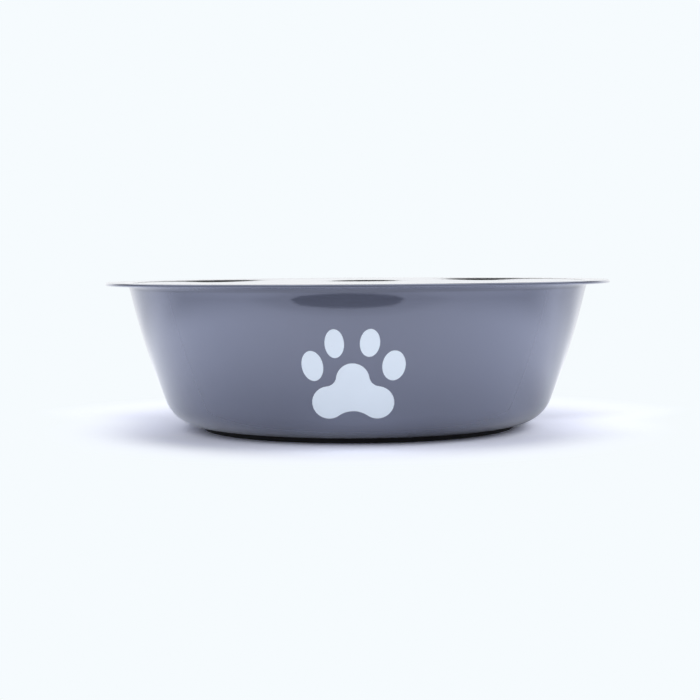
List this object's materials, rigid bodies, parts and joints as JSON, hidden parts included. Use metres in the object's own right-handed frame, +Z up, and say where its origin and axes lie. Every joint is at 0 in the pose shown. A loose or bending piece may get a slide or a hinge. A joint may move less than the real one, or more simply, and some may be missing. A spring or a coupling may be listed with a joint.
{
  "type": "dog bowl",
  "caption": "Round pressed-steel pet bowl with a flat folded-edge flange, sloping painted wall with a paw print, raised base panel and a bonded rubber foot ring.",
  "frame": {"origin": "centre of the bowl's footprint, on the floor", "axes": "+Z up along the bowl's axis; the paw print faces -Y; +X is to the right as seen from the front"},
  "size_m": [0.25, 0.25, 0.073],
  "materials": {
    "steel": "polished",
    "paint": "gloss",
    "adhesive": "satin",
    "rubber": "matte",
    "ink": "satin"
  },
  "bodies": {
    "root": {"steel_bowl": "steel", "grey_paint": "paint", "ring_bond": "adhesive", "non_slip_ring": "rubber", "paw_heel_pad": "ink", "paw_outer_left_toe": "ink", "paw_inner_left_toe": "ink", "paw_inner_right_toe": "ink", "paw_outer_right_toe": "ink"}
  },
  "joints": []
}
